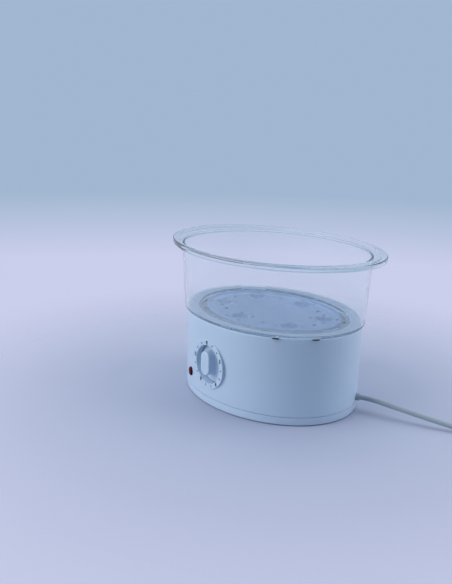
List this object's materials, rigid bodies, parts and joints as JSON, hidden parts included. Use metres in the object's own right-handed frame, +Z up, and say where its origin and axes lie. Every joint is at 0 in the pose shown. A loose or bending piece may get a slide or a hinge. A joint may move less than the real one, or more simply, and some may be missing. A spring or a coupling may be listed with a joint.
{
  "type": "egg cooker",
  "caption": "Oval electric egg steamer: white base with timer dial, lamp and heated water pan, clear lift-off bowl with stepped flange, lift-out egg tray and coiled mains lead.",
  "frame": {"origin": "on the table under the middle of the oval base", "axes": "+X along the long axis of the oval, +Z up, the dial faces -Y"},
  "size_m": [0.3951, 0.2385, 0.1396],
  "materials": {
    "white_plastic": "satin moulded",
    "clear_plastic": "clear moulded styrene",
    "tray_plastic": "clear moulded, faintly hazy",
    "pan_aluminium": "pressed, dulled by heat",
    "seal_silicone": "soft matt",
    "foot_rubber": "matt",
    "zinc_steel": "zinc plated",
    "element_sheath": "heat tinted",
    "black_plastic": "moulded phenolic",
    "bell_steel": "bright plated",
    "tinned_brass": "tinned",
    "plug_brass": "nickel plated",
    "red_lens": "translucent moulded",
    "lamp_glass": "clear glass",
    "cord_white": "soft vinyl",
    "gland_grey": "soft moulded",
    "tie_black": "moulded",
    "core_brown": "vinyl insulated",
    "lead_sleeve": "woven glass sleeve",
    "fuse_metal": "plain"
  },
  "bodies": {
    "base": {"base_housing": "white_plastic", "block_screw": "zinc_steel", "bottom_cover": "white_plastic", "bracket_nut_1": "zinc_steel", "bracket_nut_2": "zinc_steel", "clamp_screw_1": "zinc_steel", "clamp_screw_2": "zinc_steel", "clip_screw_1": "zinc_steel", "clip_screw_2": "zinc_steel", "clip_screw_3": "zinc_steel", "clip_screw_4": "zinc_steel", "cord_clamp": "black_plastic", "cord_coil": "cord_white", "cord_core_1": "core_brown", "cord_core_2": "core_brown", "cord_gland": "gland_grey", "cord_sheath": "cord_white", "cord_tie": "tie_black", "cover_screw_1": "zinc_steel", "cover_screw_2": "zinc_steel", "cover_screw_3": "zinc_steel", "cover_screw_4": "zinc_steel", "fuse_lead": "lead_sleeve", "heating_element": "element_sheath", "lamp_collar": "zinc_steel", "lamp_lead": "lead_sleeve", "neon_lamp": "lamp_glass", "pan_clip_1": "zinc_steel", "pan_clip_2": "zinc_steel", "pan_clip_3": "zinc_steel", "pan_clip_4": "zinc_steel", "pan_seal": "seal_silicone", "pilot_lens": "red_lens", "plug_body": "cord_white", "plug_pin_1": "plug_brass", "plug_pin_2": "plug_brass", "power_cord": "cord_white", "return_lead": "lead_sleeve", "rubber_foot_1": "foot_rubber", "rubber_foot_2": "foot_rubber", "rubber_foot_3": "foot_rubber", "rubber_foot_4": "foot_rubber", "terminal_block": "black_plastic", "thermal_fuse": "fuse_metal", "thermostat": "black_plastic", "thermostat_bracket": "zinc_steel", "thermostat_lead": "lead_sleeve", "timer_bell": "bell_steel", "timer_case": "black_plastic", "timer_lead": "lead_sleeve", "timer_screw_1": "zinc_steel", "timer_screw_2": "zinc_steel", "timer_terminal_1": "tinned_brass", "timer_terminal_2": "tinned_brass", "water_pan": "pan_aluminium"},
    "knob": {"knob": "white_plastic", "timer_shaft": "bell_steel"},
    "bowl": {"steam_bowl": "clear_plastic"},
    "tray": {"egg_tray": "tray_plastic"}
  },
  "joints": [
    {"name": "timer_turn", "type": "hinge", "parent": "base", "child": "knob", "pos_m": [0, -0.0716, 0.038], "axis": [0, 1, 0], "range_deg": [0, 288]},
    {"name": "bowl_lift", "type": "slide", "parent": "base", "child": "bowl", "axis": [0, 0, 1], "range_m": [0, 0.08]},
    {"name": "tray_lift", "type": "slide", "parent": "bowl", "child": "tray", "axis": [0, 0, 1], "range_m": [0, 0.07]}
  ]
}
